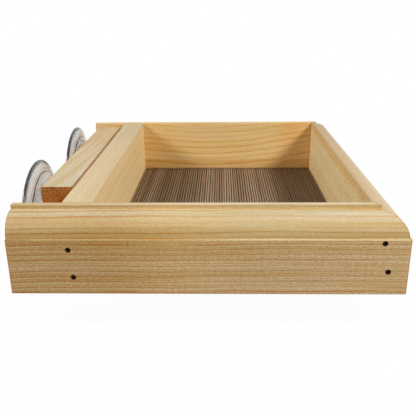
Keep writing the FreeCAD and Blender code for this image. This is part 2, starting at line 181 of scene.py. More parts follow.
class Graph:
    """The nodes of one material or of the world."""

    def __init__(self, tree: bpy.types.NodeTree) -> None:
        """Start with an empty tree."""
        self.tree = tree
        self.tree.nodes.clear()

    def node(self, kind: str, settings: dict[str, Any], inputs: dict[Any, Value], output: Any = 0) -> Sock:
        """Add a node.

        Args:
            kind: Blender's name of the node type.
            settings: Properties, set first.
            inputs: Values or links of its sockets, by name or number.
            output: Name or number of the socket that is returned.

        Returns:
            One output of the new node.
        """
        made = self.tree.nodes.new(kind)
        for name, setting in settings.items():
            setattr(made, name, setting)
        for key, given in inputs.items():
            if isinstance(given, Sock):
                self.tree.links.new(given.socket, made.inputs[key])
            else:
                made.inputs[key].default_value = given
        return Sock(self, made.outputs[output])

    def place(self) -> tuple[Sock, Sock, Sock]:
        """Object coordinates in millimetres.

        Returns:
            The three coordinates as values.
        """
        place = self.node("ShaderNodeTexCoord", {}, {}, "Object")
        scaled = self.node("ShaderNodeVectorMath", {"operation": "SCALE"}, {0: place, "Scale": 1.0 / MM})
        parts = self.node("ShaderNodeSeparateXYZ", {}, {0: scaled}).socket.node
        return Sock(self, parts.outputs[0]), Sock(self, parts.outputs[1]), Sock(self, parts.outputs[2])

    def noise(self, x: Value, y: Value, z: Value, detail: float = 2.0) -> Sock:
        """Noise about 0.5 at a point that is already scaled.

        Args:
            x: First coordinate, in features.
            y: Second coordinate.
            z: Third coordinate.
            detail: Octaves of finer noise.

        Returns:
            The noise value.
        """
        point = self.node("ShaderNodeCombineXYZ", {}, {0: x, 1: y, 2: z})
        return self.node("ShaderNodeTexNoise", {"noise_dimensions": "3D"},
                         {"Vector": point, "Scale": 1.0, "Detail": detail, "Roughness": NOISE_ROUGHNESS})

    def chance(self, number: Sock) -> Sock:
        """Random value from 0 to 1 for each number."""
        return self.node("ShaderNodeTexWhiteNoise", {"noise_dimensions": "1D"}, {"W": number})

    def mix(self, amount: Value, low: Value, high: Value, blend: str = "MIX") -> Sock:
        """Blend two colours.

        Args:
            amount: Share of the second colour.
            low: First colour.
            high: Second colour, or a grey value to multiply by.
            blend: Blender's name of the blend.

        Returns:
            The blended colour.
        """
        colours = [given if isinstance(given, Sock) else (*given, 1.0) for given in (low, high)]
        settings = {"data_type": "RGBA", "blend_type": blend}
        return self.node("ShaderNodeMix", settings, {0: amount, 6: colours[0], 7: colours[1]}, 2)

    def deepened(self, tone: Sock, share: Colour) -> Sock:
        """Colour to multiply by, which grows richer as it darkens.

        Args:
            tone: Change of brightness, 0 for none.
            share: How much of the change each of red, green and blue takes.

        Returns:
            White plus the change.
        """
        settings = {"operation": "MULTIPLY_ADD"}
        return self.node("ShaderNodeVectorMath", settings, {0: tone, 1: share, 2: WHITE[:3]})

    def bump(self, height: Sock, depth_mm: float) -> Sock:
        """Normal of a surface with that relief.

        Args:
            height: Relief from 0 to 1.
            depth_mm: Depth of the relief in millimetres.

        Returns:
            The bumped normal.
        """
        relief = {"Strength": 1.0, "Distance": depth_mm * MM, "Height": height}
        return self.node("ShaderNodeBump", {}, relief)

    def principled(self, **inputs: Value) -> Sock:
        """Principled surface.

        Args:
            **inputs: Values or links of its sockets; underscores in the names stand for spaces.

        Returns:
            The surface.
        """
        named = {name.replace("_", " "): given for name, given in inputs.items()}
        return self.node("ShaderNodeBsdfPrincipled", {}, named)

    def end(self, surface: Sock, kind: str = "ShaderNodeOutputMaterial") -> None:
        """Close the tree with its output node.

        Args:
            surface: What it shows.
            kind: Blender's name of the output node's type.
        """
        last = self.tree.nodes.new(kind)
        self.tree.links.new(surface.socket, last.inputs["Surface"])


def new_material(name: str) -> tuple[bpy.types.Material, Graph]:
    """Start a node material.

    Args:
        name: Name of the material.

    Returns:
        The material and the graph of its nodes.
    """
    made = bpy.data.materials.new(name)
    made.use_nodes = True
    return made, Graph(made.node_tree)


@dataclass(frozen=True)
class Fleck:
    """A noise: its features per millimetre along three axes, its octaves and how much it counts."""

    scales: Point
    detail: float = 2.0
    share: float = 0.0

    def over(self, graph: Graph, places: Sequence[Sock], shift: float = 0.0) -> Sock:
        """Noise about 0.5 over a surface.

        Args:
            graph: Graph of the material.
            places: Where a point lies along the three axes.
            shift: What sets one length of wood apart from the next.

        Returns:
            The noise value.
        """
        first, second, third = (place * scale for place, scale in zip(places, self.scales))
        return graph.noise(first + shift if shift else first, second, third, self.detail)


# Noises of the pine, along the fibres, across them and up.
GRIT = Fleck((0.55, 1.9, 1.9), 1.0)
FIBRE = Fleck((0.040, 0.9, 0.9), 3.0, 0.20)
STREAK = Fleck((0.030, 0.7, 0.7), share=0.12)
CLOUD = Fleck((0.014, 0.05, 0.05), 4.0, 0.18)
SLOW_SWAY = Fleck((0.007, 0.012, 0.012))
QUICK_SWAY = Fleck((0.030, 0.15, 0.15), share=1.1)

# Noises of the vinyl, the wire and the steel.
MOULD_MARKS = Fleck((0.9, 0.3, 0.02))
HAZE = Fleck((0.05, 0.05, 0.05), 3.0)
DUST = Fleck((0.05, 0.02, 0.05), 3.0, 0.3)
SPECKS = Fleck((1.5, 0.6, 1.5), share=0.5)
BLOTCHES = Fleck((0.6, 0.6, 0.6), 3.0)
SCRATCHES = Fleck((0.4, 6.0, 0.8))


@dataclass(frozen=True)
class Tone:
    """Look of a zone of the wood, such as a sawn end, and how far it reaches."""

    tint: Colour
    reach: float
    speckle: float = 0.0
    lines: float = 0.0
    fine: float = 0.0
    late: Optional[Colour] = None
    rough: float = 0.0
    above: Optional[float] = None


@dataclass(frozen=True)
class Band:
    """A zone of a length of wood, on both sides of a place."""

    way: Way
    place: float
    tone: Tone


@dataclass(frozen=True)
class PineFinish:
    """Bare planed pine, sawn from a log whose pith lies at a given place."""

    name: str
    grain: Grain
    pith: tuple[float, float]
    ring_width: float
    ring_drift: float = 0.35
    ring_spread: float = 0.9
    ring_faintest: float = 0.3
    early: Colour = (0.67, 0.50, 0.275)
    gold: Colour = (0.57, 0.375, 0.14)
    late: Colour = (0.50, 0.215, 0.02)
    deepening: Colour = (0.65, 1.0, 1.6)
    contrast: float = 1.0
    grit: float = 0.9
    broad: float = 0.5
    broad_along: float = 0.005
    broad_across: float = 0.22
    broad_step: tuple[float, float] = (0.42, 0.68)
    broken_step: tuple[float, float] = (0.15, 0.60)
    thin: float = 0.45
    line_full: float = 0.92
    line_end: float = 0.94
    fine: float = 0.5
    fine_count: float = 2.0
    fine_shift: float = 0.45
    sway: float = 5.0
    bow: float = 0.0
    bow_middle: float = 0.0
    bow_length: float = 100.0
    bands: tuple[Band, ...] = ()
    band_core: float = 0.5
    above_blend: float = 2.0
    pore_along: float = 0.2
    pore_across: float = 0.8
    pore_detail: float = 4.0
    holes: tuple[tuple[float, float], ...] = ()
    # Painted shade in the nail holes: full on their walls, fading out just past their rims.
    hole_core: float = 1.4
    hole_shade_fade: float = 1.8
    hole_shade_tint: Colour = (0.16, 0.06, 0.03)
    mean_tone: float = 0.24
    roughness: float = 0.50
    rougher: float = 0.22
    gloss: float = 0.35
    relief_mm: float = 0.05
    fibre_relief: float = 0.6
    line_relief: float = 0.4
    seed: float = 0.0

    def material(self) -> bpy.types.Material:
        """Make the material with its rings, fibres, tone, zones, some of which hold painted light and shade,
        and painted shade in the nail holes.

        Returns:
            The new material.
        """
        made, graph = new_material(self.name)
        x, y, z = graph.place()
        along, across = (x, y) if self.grain is Grain.ALONG_X else (y, x)
        places = (along, across, z, x - abs(y))
        masks = [self._mask(band, places) for band in self.bands]
        contrast, fine, dark, rough = self._line_looks(graph, masks)
        radius, yearly, between = self._rings(graph, places)
        late = yearly + between * fine
        grit = GRIT.over(graph, places, self.seed) - 0.5
        fibre = FIBRE.over(graph, places, self.seed)
        streak = STREAK.over(graph, places, self.seed)
        cloud = CLOUD.over(graph, places, self.seed)
        broad = graph.noise(radius * self.broad_across, along * self.broad_along, self.seed)
        wood = graph.mix(broad.rise(*self.broad_step) * self.broad, self.early, self.gold)
        wood = graph.mix(late * streak.rise(*self.broken_step) * contrast, wood, dark)
        tone = (fibre * FIBRE.share + streak * STREAK.share + cloud * CLOUD.share
                + grit * (contrast * self.grit + rough) - self.mean_tone)
        wood = graph.mix(1.0, wood, graph.deepened(tone, self.deepening), "MULTIPLY")
        for band, mask in zip(self.bands, masks):
            wood = self._with_zone(graph, wood, band.tone, mask, places)
        if self.holes:
            # Painted shade in the nail holes.
            wood = graph.mix(self._in_holes(x, z), wood, self.hole_shade_tint, "MULTIPLY")
        relief = graph.bump(fibre * self.fibre_relief + late * self.line_relief, self.relief_mm)
        graph.end(graph.principled(
            Base_Color=wood, Roughness=self.roughness + fibre * self.rougher, Specular_IOR_Level=self.gloss,
            Normal=relief))
        return made

    def _line_looks(self, graph: Graph, masks: Sequence[Sock]) -> tuple[Value, Value, Value, Value]:
        """How the lines show in each zone.

        Args:
            graph: Graph of the material.
            masks: The zones' masks.

        Returns:
            Contrast, share of the lines between the yearly ones, their colour, and extra grit.
        """
        contrast: Value = self.contrast
        fine: Value = self.fine
        dark: Value = self.late
        rough: Value = 0.0
        for mask, tone in zip(masks, (band.tone for band in self.bands)):
            contrast = mask * tone.lines + contrast if tone.lines else contrast
            fine = mask * tone.fine + fine if tone.fine else fine
            dark = graph.mix(mask, dark, tone.late) if tone.late else dark
            rough = mask * tone.rough + rough if tone.rough else rough
        return contrast, fine, dark, rough

    def _in_holes(self, x: Sock, z: Sock) -> Sock:
        """1 on the walls of the nail holes, where shade is painted, fading to 0 just past their rims.

        Args:
            x: Place along a front or back rail.
            z: Height.

        Returns:
            The mask as a socket.
        """
        gaps = [(x - along) * (x - along) + (z - up) * (z - up) for along, up in self.holes]
        nearest = gaps[0]
        for gap in gaps[1:]:
            nearest = nearest.least(gap)
        return (nearest ** 0.5).rise(self.hole_shade_fade, self.hole_core)

    def _mask(self, band: Band, places: Places) -> Sock:
        """1 inside a zone, 0 outside it.

        Args:
            band: The zone.
            places: Where a point lies in each Way.

        Returns:
            The mask as a socket.
        """
        reach, above = band.tone.reach, band.tone.above
        mask = abs(places[band.way.value] - band.place).rise(reach, reach * self.band_core)
        if above is None:
            return mask
        return mask * places[Way.UP.value].rise(above - self.above_blend, above + self.above_blend)

    def _rings(self, graph: Graph, places: Places) -> tuple[Sock, Sock, Sock]:
        """Growth rings round the pith.

        Args:
            graph: Graph of the material.
            places: Where a point lies in each Way.

        Returns:
            Swayed distance from the pith, the yearly lines of latewood and the lines between them.
        """
        along, across, up = places[:3]
        slow = SLOW_SWAY.over(graph, places, self.seed) - 0.5
        quick = QUICK_SWAY.over(graph, places, self.seed) - 0.5
        arch = (along - self.bow_middle) / self.bow_length
        out = across - self.pith[0]
        rise = up - self.pith[1] - arch * arch * self.bow
        radius = (out * out + rise * rise) ** 0.5 + slow * self.sway + quick * QUICK_SWAY.share
        wide = graph.noise(radius * (self.ring_drift / self.ring_width), self.seed, 0.0, 1.0)
        count = radius / self.ring_width + (wide - 0.5) * self.ring_spread
        strength = graph.chance(count.floor() + self.seed) * (1.0 - self.ring_faintest) + self.ring_faintest
        return radius, self._line(count) * strength, self._line(count * self.fine_count + self.fine_shift)

    def _line(self, count: Sock) -> Sock:
        """Dark line at the end of each whole number, soft towards its start."""
        part = count.fraction()
        return part.rise(self.thin, self.line_full) * part.rise(1.0, self.line_end)

    def _with_zone(self, graph: Graph, wood: Sock, tone: Tone, mask: Sock, places: Places) -> Sock:
        """Tint one zone of the wood.

        Args:
            graph: Graph of the material.
            wood: Colour so far.
            tone: Look of the zone.
            mask: The zone's mask.
            places: Where a point lies in each Way.

        Returns:
            Colour with the zone tinted.
        """
        wood = graph.mix(mask, wood, tone.tint, "MULTIPLY")
        if tone.speckle:
            along, across, up = places[:3]
            pores = graph.noise(across * self.pore_across, up * self.pore_across,
                                along * self.pore_along + self.seed, self.pore_detail)
            wood = graph.mix(mask, wood, 1.0 + (pores - 0.5) * tone.speckle, "MULTIPLY")
        return wood


@dataclass(frozen=True)
class VinylFinish:
    """Soft clear vinyl, grey between the ring and the rim, with a painted dark edge at the rim and a painted
    dark line at the ring.
    """

    name: str
    middle_y: float
    rim_radius: float
    ring_radius: float
    body: Colour = (0.74, 0.71, 0.66)
    dome: Colour = (0.99, 0.98, 0.96)
    # Painted shade: near-black rim, standing in for the dark edge that the thick lip shows as it bends light
    # away.
    rim: Colour = (0.05, 0.05, 0.06)
    # Painted shade: dark line at the ring step, standing in for the dark edge that the step shows as it
    # bends light away.
    ring: Colour = (0.09, 0.065, 0.05)
    dome_blend: float = 1.0
    rim_width: float = 3.2
    rim_core: float = 1.0
    ring_half: float = 0.40
    ring_core: float = 0.12
    ring_share: float = 0.9
    roughness: float = 0.06
    hazier: float = 0.16
    clearness: float = 0.84
    bending: float = 1.50
    relief_mm: float = 0.04

    def material(self) -> bpy.types.Material:
        """Make the material with its painted dark rim, its painted ring line and faint mould marks.

        Returns:
            The new material.
        """
        made, graph = new_material(self.name)
        x, y, z = graph.place()
        out = y - self.middle_y
        radius = (out * out + z * z) ** 0.5
        rim = radius.rise(self.rim_radius - self.rim_width, self.rim_radius - self.rim_core)
        ring = abs(radius - self.ring_radius).rise(self.ring_half, self.ring_core)
        outside = radius.rise(self.ring_radius - self.dome_blend, self.ring_radius)
        tint = graph.mix(outside, self.dome, self.body)
        # Painted dark edge at the rim.
        tint = graph.mix(rim, tint, self.rim)
        # Painted dark line at the ring step.
        tint = graph.mix(ring * self.ring_share, tint, self.ring)
        mould = MOULD_MARKS.over(graph, (radius, x, z))
        haze = HAZE.over(graph, (x, y, z))
        graph.end(graph.principled(
            Base_Color=tint, Roughness=self.roughness + haze * self.hazier, IOR=self.bending,
            Transmission_Weight=self.clearness, Normal=graph.bump(mould, self.relief_mm)))
        return made


@dataclass(frozen=True)
class ScreenFinish:
    """Brown coated wire whose strands differ a little in tone, with painted shadow at its sides and painted
    shade along its front and back edges.
    """

    name: str
    pitch: float
    first: float
    dark: Colour
    light: Colour
    strand_share: float = 0.20
    group_share: float = 0.70
    group_scale: float = 0.22
    group_step: tuple[float, float] = (0.25, 0.75)
    group_seed: float = 3.0
    speck_low: float = 0.75
    # Painted shadow: darker on the outer side, where the outer rail shades the screen, and towards the
    # window board, which shades it too.
    outer_shadow_from: float = 160.0
    outer_shadow_to: float = 176.0
    board_shadow_full: float = 86.0
    board_shadow_from: float = 108.0
    board_shadow_share: float = 0.6
    side_shadow_share: float = 0.55
    half_depth: float = 109.5
    # Painted shade: darker along the front and back edges, in the gaps by the rails.
    rail_shade_from: float = 8.0
    rail_shade_to: float = 4.0
    rail_shade_share: float = 0.7
    roughness: float = 0.42
    rougher: float = 0.25
    gloss: float = 0.4
    relief_mm: float = 0.02

    def material(self) -> bpy.types.Material:
        """Make the material with strand tones, painted shadow at the sides, painted shade at the front and
        back edges, and specks.

        Returns:
            The new material.
        """
        made, graph = new_material(self.name)
        x, y, z = graph.place()
        strand = ((x - self.first) / self.pitch + 0.5).floor()
        single = graph.chance(strand)
        group = graph.noise(strand * self.group_scale, self.group_seed, 0.0)
        dust = DUST.over(graph, (x, y, z))
        speck = SPECKS.over(graph, (x, y, z))
        # Painted shadow of the outer rail and the window board.
        painted_shadow = x.rise(self.outer_shadow_from, self.outer_shadow_to)
        painted_shadow = painted_shadow + x.rise(self.board_shadow_from, self.board_shadow_full) * self.board_shadow_share
        # Painted shade along the front and back edges.
        edge = abs(y).rise(self.half_depth - self.rail_shade_from, self.half_depth - self.rail_shade_to)
        tone = (group.rise(*self.group_step) * self.group_share + single * self.strand_share
                + (dust - 0.5) * DUST.share - painted_shadow * self.side_shadow_share)
        brown = graph.mix(tone, self.dark, self.light)
        shade = (self.speck_low + speck * SPECKS.share) * (1.0 - edge * self.rail_shade_share)
        brown = graph.mix(1.0, brown, shade, "MULTIPLY")
        graph.end(graph.principled(
            Base_Color=brown, Roughness=self.roughness + speck * self.rougher, Specular_IOR_Level=self.gloss,
            Normal=graph.bump(speck, self.relief_mm)))
        return made


@dataclass(frozen=True)
class SteelFinish:
    """Plain steel, bright or dulled."""

    name: str
    clean: Colour
    dull: Colour
    metal: float
    roughness: float
    dull_step: tuple[float, float] = (0.35, 0.7)
    rougher: float = 0.2
    relief_mm: float = 0.01

    def material(self) -> bpy.types.Material:
        """Make the material with blotches of dulled metal and fine scratches.

        Returns:
            The new material.
        """
        made, graph = new_material(self.name)
        x, y, z = graph.place()
        blotch = BLOTCHES.over(graph, (x, y, z))
        scratch = SCRATCHES.over(graph, (x, y, z))
        steel = graph.mix(blotch.rise(*self.dull_step), self.clean, self.dull)
        graph.end(graph.principled(
            Base_Color=steel, Metallic=self.metal, Roughness=self.roughness + scratch * self.rougher,
            Normal=graph.bump(scratch, self.relief_mm)))
        return made


ZINC = SteelFinish("zinc_steel", (0.62, 0.61, 0.58), (0.40, 0.39, 0.37), 1.0, 0.30)
# Painted shade: near-black steel for the sunk nail heads, standing in for the shade at the bottoms of their
# holes.
NAIL = SteelFinish("nail_near_black", (0.004, 0.002, 0.0015), (0.03, 0.009, 0.003), 0.1, 0.75)


class Turning:
    """A half-section drawn in the plane of X and Z, then spun round the X axis."""

    def __init__(self, along: float, out: float) -> None:
        """Start the half-section at a point."""
        self.mesh = bmesh.new()
        self.tip = self.mesh.verts.new((along, 0.0, out))

    def lines(self, *points: tuple[float, float]) -> None:
        """Draw straight sides from point to point.

        Args:
            *points: Places along the axis and distances from it.
        """
        for along, out in points:
            self.tip = bmesh.ops.extrude_vert_indiv(self.mesh, verts=[self.tip])["verts"][0]
            bmesh.ops.translate(self.mesh, verts=[self.tip], vec=Vector((along, 0.0, out)) - self.tip.co)

    def arc(self, along: float, out: float, radius: float, side: int, steps: int) -> None:
        """Draw an arc to a point.

        Args:
            along: Place of its end along the axis.
            out: Distance of its end from the axis.
            radius: Radius of the arc.
            side: 1 where the arc's centre lies left of its chord, -1 where right.
            steps: Number of straight parts.
        """
        start = Vector((self.tip.co.x, self.tip.co.z))
        chord = Vector((along, out)) - start
        left = Vector((-chord.y, chord.x)).normalized()
        centre = start + chord / 2 + left * side * math.sqrt(radius ** 2 - (chord.length / 2) ** 2)
        turn = side * 2 * math.asin(chord.length / (2 * radius))
        swept = bmesh.ops.spin(self.mesh, geom=[self.tip], cent=(centre.x, 0.0, centre.y),
                               axis=(0.0, -1.0, 0.0), angle=turn, steps=steps)
        self.tip = next(item for item in swept["geom_last"] if isinstance(item, bmesh.types.BMVert))

    def spin(self, steps: int) -> bmesh.types.BMesh:
        """Turn the half-section into a closed solid.

        Args:
            steps: Number of parts round the axis.

        Returns:
            The mesh, with its seam and poles closed and its faces outwards.
        """
        half_section = self.mesh.verts[:] + self.mesh.edges[:]
        bmesh.ops.spin(self.mesh, geom=half_section, cent=(0.0, 0.0, 0.0), axis=(1.0, 0.0, 0.0),
                       angle=math.tau, steps=steps, use_merge=True)
        bmesh.ops.remove_doubles(self.mesh, verts=self.mesh.verts, dist=TOUCH_MM)
        bmesh.ops.recalc_face_normals(self.mesh, faces=self.mesh.faces)
        return self.mesh


def settle(name: str, mesh: bmesh.types.BMesh, finish: bpy.types.Material, body: str,
           nodes: Sequence[str] = (), sharp_degrees: float = 35.0) -> bpy.types.Object:
    """Make a finished piece from a mesh drawn in millimetres.

    Args:
        name: Name of the piece.
        mesh: Its mesh, which is used up.
        finish: Its material.
        body: Body that it moves with.
        nodes: Solids that it stands for.
        sharp_degrees: Angle past which an edge stays sharp.

    Returns:
        The new object.
    """
    bmesh.ops.scale(mesh, verts=mesh.verts, vec=(MM, MM, MM))
    for face in mesh.faces:
        face.smooth = True
    for edge in mesh.edges:
        edge.smooth = edge.calc_face_angle(0.0) < math.radians(sharp_degrees)
    data = bpy.data.meshes.new(name)
    mesh.to_mesh(data)
    mesh.free()
    data.materials.append(finish)
    piece = bpy.data.objects.new(name, data)
    bpy.context.scene.collection.objects.link(piece)
    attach(piece, body)
    if nodes:
        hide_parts(*nodes)
    LOG.info("%s: %d faces", name, len(data.polygons))
    return piece


def lay_out(mesh: bmesh.types.BMesh, template: bpy.types.Mesh, spot: Point) -> list[bmesh.types.BMVert]:
    """Add one copy of a template to a mesh.

    Args:
        mesh: Mesh that the copy joins.
        template: What is copied.
        spot: How far the copy is moved.

    Returns:
        The copy's vertices.
    """
    before = len(mesh.verts)
    mesh.from_mesh(template)
    mesh.verts.ensure_lookup_table()
    fresh = mesh.verts[before:]
    bmesh.ops.translate(mesh, verts=fresh, vec=spot)
    return fresh


def dress_solid(solid: bpy.types.Object, finish: bpy.types.Material) -> None:
    """Put a material on a solid that stays in view.

    Args:
        solid: The solid's object.
        finish: Its material.
    """
    for holder in solid.material_slots:
        holder.material = finish
    LOG.info("%s: %s", solid.name, finish.name)


@dataclass
class TimberFrame:
    """Rails, window board, mounting strip and floor ledges, each from its own length of pine.

    The tones follow the moulding: its sawn ends, mitres, face, crown and top. Some zones hold painted light
    and shade: lifted step faces, a pale crown foot and ledge, brightened inner walls, a dark groove and
    shaded corners of the back wall.
    """

    nodes: dict[str, bpy.types.Object]
    rail_start: float = 5.0
    rail_end: float = 224.5
    half_width: float = 129.5
    strip_end: float = 85.5
    strip_edge: float = 13.1
    strip_joint: float = 32.1
    board_inner: float = 49.5
    outer_inner: float = 205.5
    face_ledge: float = 1.4
    step_depth: float = 14.5
    rail_top: float = 31.2
    brow_height: float = 28.9
    crown_height: float = 20.0
    ledge_height: float = 16.2
    sap_height: float = 13.0
    low_height: float = -8.0
    outer_end_shade_place: float = 205.0
    sawn: Tone = Tone((0.82, 0.50, 0.22), 0.4, speckle=2.4)
    corner: Tone = Tone((0.80, 0.55, 0.32), 1.3)
    mitre: Tone = Tone((0.74, 0.54, 0.34), 0.5)
    face: Tone = Tone((1.22, 1.13, 1.0), 0.12, lines=0.10, fine=0.55, late=(0.46, 0.21, 0.045), rough=0.6)
    foot: Tone = Tone((1.03, 0.98, 0.87), 0.35)
    # Painted highlight: pale, cool lift on the lowest part of the crown, where it meets the ledge and shade
    # falls.
    foot_painted_highlight: Tone = Tone((1.27, 1.40, 1.75), 0.06)
    # Painted highlight: paler line along the ledge.
    ledge: Tone = Tone((0.89, 1.03, 1.22), 0.1)
    crown: Tone = Tone((0.98, 0.93, 0.78), 8.0)
    brow: Tone = Tone((1.0, 1.10, 1.27), 1.8)
    # Painted light: lifts the step face under the top, which faces away from the lamps and lies in shade.
    step: Tone = Tone((1.23, 1.13, 0.86), 0.2)
    top: Tone = Tone((1.05, 1.11, 1.22), 0.6)
    # Darker towards the window end, below the top.
    window_end_dark: Tone = Tone((0.83, 0.81, 0.775), 100.0, lines=0.25)
    # Paler on the top towards the window end.
    fresh: Tone = Tone((1.12, 1.27, 1.70), 100.0, above=30.5)
    pale: Tone = Tone((0.92, 0.965, 1.06), 150.0)
    # Painted shade: darker towards the outer end of the back rail, deepening the shade in the back wall's
    # outer corner.
    outer_end_shade: Tone = Tone((0.98, 0.87, 0.74), 38.0)
    # Painted shade: warmer, richer colour over the back wall's shaded corner by the window board, for light
    # bounced off the wood.
    left_corner_shade: Tone = Tone((1.0, 0.95, 0.80), 40.0)
    low: Tone = Tone((0.88, 0.77, 0.60), 6.0)
    # Painted light: brightens the outer rail's inner wall beyond what the lamps give it.
    outer_wall_painted_light: Tone = Tone((1.36, 1.35, 1.13), 0.12, rough=0.45)
    outer_streak: Tone = Tone((1.0, 0.95, 0.85), 0.7, lines=0.15, above=22.0)
    outer_arris: Tone = Tone((0.78, 0.72, 0.58), 2.5, above=31.0)
    outer_sap: Tone = Tone((1.02, 1.08, 1.16), 16.0)
    outer_face: Tone = Tone((1.22, 1.13, 1.0), 0.5, lines=0.4)
    # Painted light: lifts the outer rail's step face, as on the other rails.
    outer_step_painted_light: Tone = Tone((1.23, 1.13, 0.86), 0.5)
    outer_top: Tone = Tone((0.945, 0.91, 0.89), 0.6)
    # Painted light: brightens the window board's inner wall beyond what the lamps give it.
    board_wall_painted_light: Tone = Tone((1.33, 1.29, 1.09), 0.12)
    # Painted shade: darkens the groove where the strip meets the board, in the shade of the gap.
    groove: Tone = Tone((0.70, 0.50, 0.30), 0.8)
    strip_side: Tone = Tone((0.92, 0.80, 0.62), 0.8)
    strip_honey: Tone = Tone((0.95, 0.83, 0.63), 85.0, above=30.0)
    strip_bleached: Tone = Tone((0.98, 1.085, 1.22), 55.0, above=30.0)
    strip_sawn: Tone = Tone((0.79, 0.375, 0.107), 0.4, speckle=2.4)
    floor_ledges: tuple[tuple[str, Grain, float], ...] = (
        ("front_ledge", Grain.ALONG_X, 50.0), ("back_ledge", Grain.ALONG_X, 57.3),
        ("window_ledge", Grain.ALONG_Y, 64.6), ("outer_ledge", Grain.ALONG_Y, 71.9))

    def _rail_bands(self, side: int) -> tuple[Band, ...]:
        """Zones that the front and back rails have alike, from the sawn end to the ledge, with painted light
        on the step face, the crown's foot and the ledge.

        Args:
            side: -1 for the front rail, 1 for the back one.

        Returns:
            The zones.
        """
        return (
            Band(Way.ALONG, self.rail_start, self.sawn),
            Band(Way.ALONG, self.rail_end, self.corner),
            Band(Way.MITRE, self.rail_end - self.half_width, self.mitre),
            Band(Way.ACROSS, side * self.half_width, self.face),
            Band(Way.ACROSS, side * (self.half_width - self.face_ledge), self.foot),
            Band(Way.ACROSS, side * (self.half_width - self.face_ledge), self.foot_painted_highlight),
            Band(Way.ACROSS, side * (self.half_width - self.step_depth), self.step),
            Band(Way.UP, self.rail_top, self.top),
            Band(Way.UP, self.ledge_height, self.ledge),
        )

    def _front_rail(self) -> PineFinish:
        """Pine of the front rail.

        Returns:
            Its finish, with close straight lines, darker at the window end below its top.
        """
        return PineFinish(
            "pine_front", Grain.ALONG_X, (-200.0, -160.0), 2.95, gold=(0.58, 0.38, 0.14),
            contrast=0.8, grit=0.65, broad=0.85, thin=0.55, fine=0.15, sway=4.0, bow=-0.4, bow_middle=180.0,
            holes=NAIL_SPOTS, seed=3.1, bands=(
                *self._rail_bands(-1),
                Band(Way.ALONG, self.rail_start, self.window_end_dark),
                Band(Way.ALONG, self.rail_start, self.fresh),
                Band(Way.ALONG, self.rail_end, self.pale),
                Band(Way.UP, self.crown_height, self.crown),
                Band(Way.UP, self.brow_height, self.brow)))

    def _back_rail(self) -> PineFinish:
        """Pine of the back rail.

        Returns:
            Its finish, with wide arched lines, darker low down, with painted shade at the outer end and in
            the corner by the window board.
        """
        return PineFinish(
            "pine_back", Grain.ALONG_X, (62.0, -48.0), 3.8, early=(0.78, 0.55, 0.255),
            gold=(0.73, 0.46, 0.14), late=(0.58, 0.28, 0.025), contrast=0.7, grit=0.8, thin=0.5, sway=7.0,
            bow=9.0, bow_middle=100.0, holes=NAIL_SPOTS, seed=11.7, bands=(
                *self._rail_bands(1),
                Band(Way.ALONG, self.outer_end_shade_place, self.outer_end_shade),
                Band(Way.ALONG, self.board_inner, self.left_corner_shade),
                Band(Way.UP, self.low_height, self.low)))

    def _outer_rail(self) -> PineFinish:
        """Pine of the outer rail.

        Returns:
            Its finish, even and pale, with a darker streak under the inner edge of its top; painted light
            brightens its inner wall and lifts its step face.
        """
        return PineFinish(
            "pine_outer", Grain.ALONG_Y, (150.0, -40.0), 9.0, early=(0.615, 0.48, 0.30),
            gold=(0.59, 0.44, 0.245), contrast=0.2, grit=1.5, thin=0.3, seed=23.4, bands=(
                Band(Way.ALONG, -self.half_width, self.corner),
                Band(Way.ALONG, self.half_width, self.corner),
                Band(Way.MITRE, self.rail_end - self.half_width, self.mitre),
                Band(Way.ACROSS, self.outer_inner, self.outer_wall_painted_light),
                Band(Way.ACROSS, self.outer_inner, self.outer_streak),
                Band(Way.ACROSS, self.outer_inner, self.outer_arris),
                Band(Way.UP, self.sap_height, self.outer_sap),
                Band(Way.ACROSS, self.rail_end, self.outer_face),
                Band(Way.ACROSS, self.rail_end - self.face_ledge, self.foot),
                Band(Way.ACROSS, self.rail_end - self.step_depth, self.outer_step_painted_light),
                Band(Way.UP, self.rail_top, self.outer_top)))

    def _board_and_strip(self) -> tuple[PineFinish, PineFinish]:
        """Pine of the window board and of the mounting strip.

        Returns:
            Both finishes, with painted shade in the groove between the two and painted light on the board's
            inner wall; the strip's top is yellower at the back.
        """
        joint = Band(Way.ACROSS, self.strip_joint, self.groove)
        board = PineFinish(
            "pine_board", Grain.ALONG_Y, (95.0, 120.0), 8.0, early=(0.66, 0.515, 0.315),
            gold=(0.63, 0.47, 0.25), contrast=0.25, grit=2.2, seed=31.9, bands=(
                joint, Band(Way.ACROSS, self.board_inner, self.board_wall_painted_light)))
        strip = PineFinish(
            "pine_strip", Grain.ALONG_Y, (-30.0, -20.0), 5.0, early=(0.675, 0.56, 0.40),
            gold=(0.55, 0.39, 0.19), contrast=0.25, grit=1.4, broad=1.0, bow=3.0, bow_middle=-300.0,
            seed=41.2, bands=(
                joint, Band(Way.ACROSS, self.strip_edge, self.strip_side),
                Band(Way.ALONG, self.strip_end, self.strip_honey),
                Band(Way.ALONG, -self.strip_end, self.strip_bleached),
                Band(Way.ALONG, -self.strip_end, self.strip_sawn),
                Band(Way.ALONG, self.strip_end, self.strip_sawn)))
        return board, strip

    def finishes(self) -> dict[str, PineFinish]:
        """Pine of each length.

        Returns:
            Finishes by the names of the solids.
        """
        board, strip = self._board_and_strip()
        lengths = {"front_rail": self._front_rail(), "back_rail": self._back_rail(),
                   "outer_rail": self._outer_rail(), "window_board": board, "mounting_strip": strip}
        for name, grain, seed in self.floor_ledges:
            lengths[name] = PineFinish("pine_" + name, grain, (20.0, 60.0), 3.5, seed=seed)
        return lengths

    def dress(self) -> None:
        """Give each length its own pine."""
        for name, finish in self.finishes().items():
            dress_solid(self.nodes[name], finish.material())


